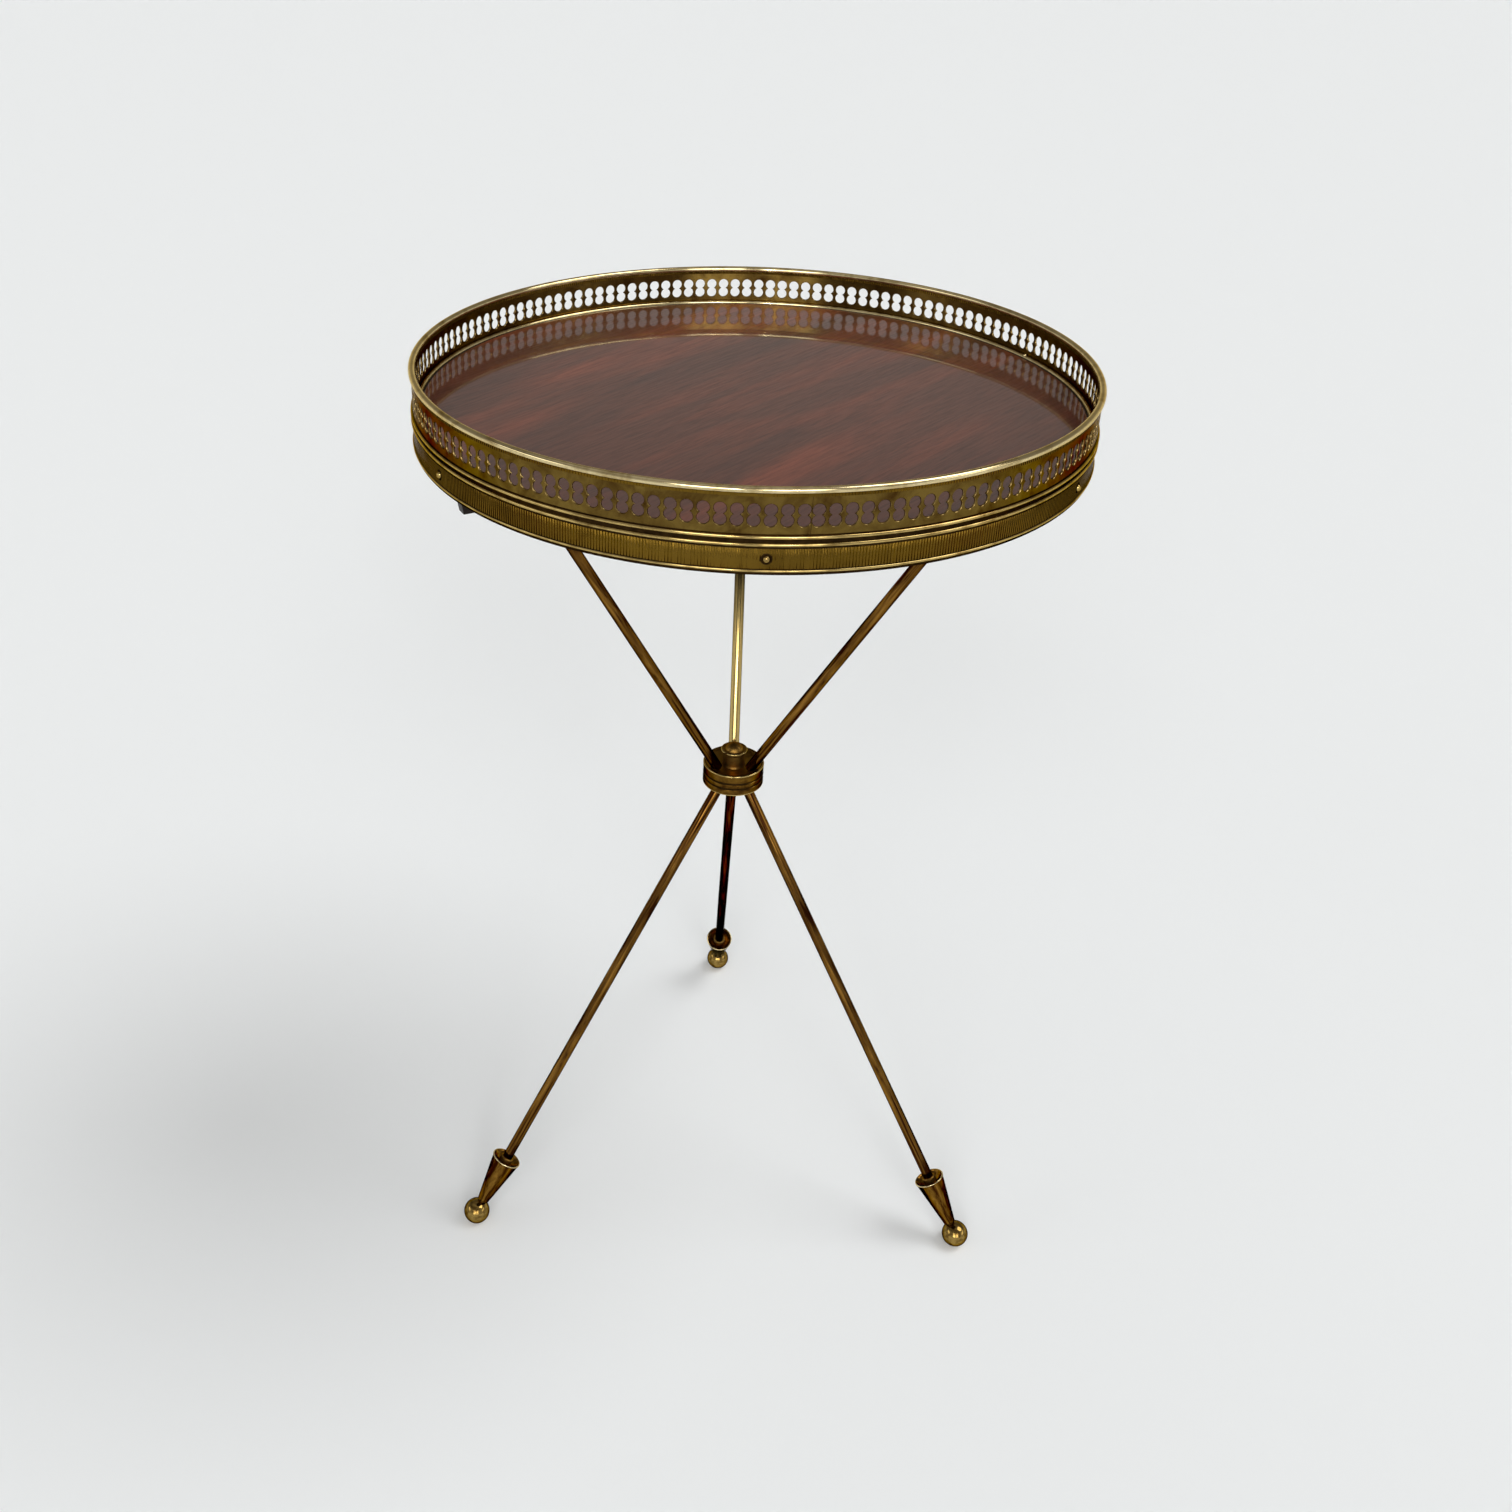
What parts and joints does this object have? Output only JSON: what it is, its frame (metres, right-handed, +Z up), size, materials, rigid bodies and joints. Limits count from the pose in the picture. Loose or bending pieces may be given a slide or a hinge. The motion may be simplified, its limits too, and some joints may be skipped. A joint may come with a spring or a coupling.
{
  "type": "tripod side table",
  "caption": "Round side table: wooden top inside a pierced brass gallery, on a tripod of straight brass rods that meet in a grooved hub and end in cone feet with balls.",
  "frame": {"origin": "on the floor, on the vertical axis of the round top, under its centre", "axes": "+Z up along the axis of the top; +Y towards the leg that stands at the back; +X to the right seen from the front, between the two front legs"},
  "size_m": [0.3999, 0.4077, 0.6165],
  "materials": {
    "polished_brass": "polished, lightly lacquered",
    "aged_brass": "darkened, polished",
    "mahogany_veneer": "glossy varnish",
    "core_wood": "plain stained",
    "dark_wood": "plain dark"
  },
  "bodies": {
    "root": {"apron_band": "aged_brass", "bead_moulding": "polished_brass", "core_board": "core_wood", "foot_ball_back": "aged_brass", "foot_ball_front_left": "aged_brass", "foot_ball_front_right": "aged_brass", "foot_cone_back": "aged_brass", "foot_cone_front_left": "aged_brass", "foot_cone_front_right": "aged_brass", "gallery_band": "polished_brass", "hub_body": "aged_brass", "hub_cap": "aged_brass", "hub_nut": "aged_brass", "hub_post": "aged_brass", "inner_ring": "polished_brass", "lower_rod_back": "aged_brass", "lower_rod_front_left": "aged_brass", "lower_rod_front_right": "aged_brass", "packing_block": "dark_wood", "rim_bead": "polished_brass", "top_flange_back": "aged_brass", "top_flange_front_left": "aged_brass", "top_flange_front_right": "aged_brass", "top_panel": "mahogany_veneer", "upper_rod_back": "aged_brass", "upper_rod_front_left": "aged_brass", "upper_rod_front_right": "aged_brass"}
  },
  "joints": []
}
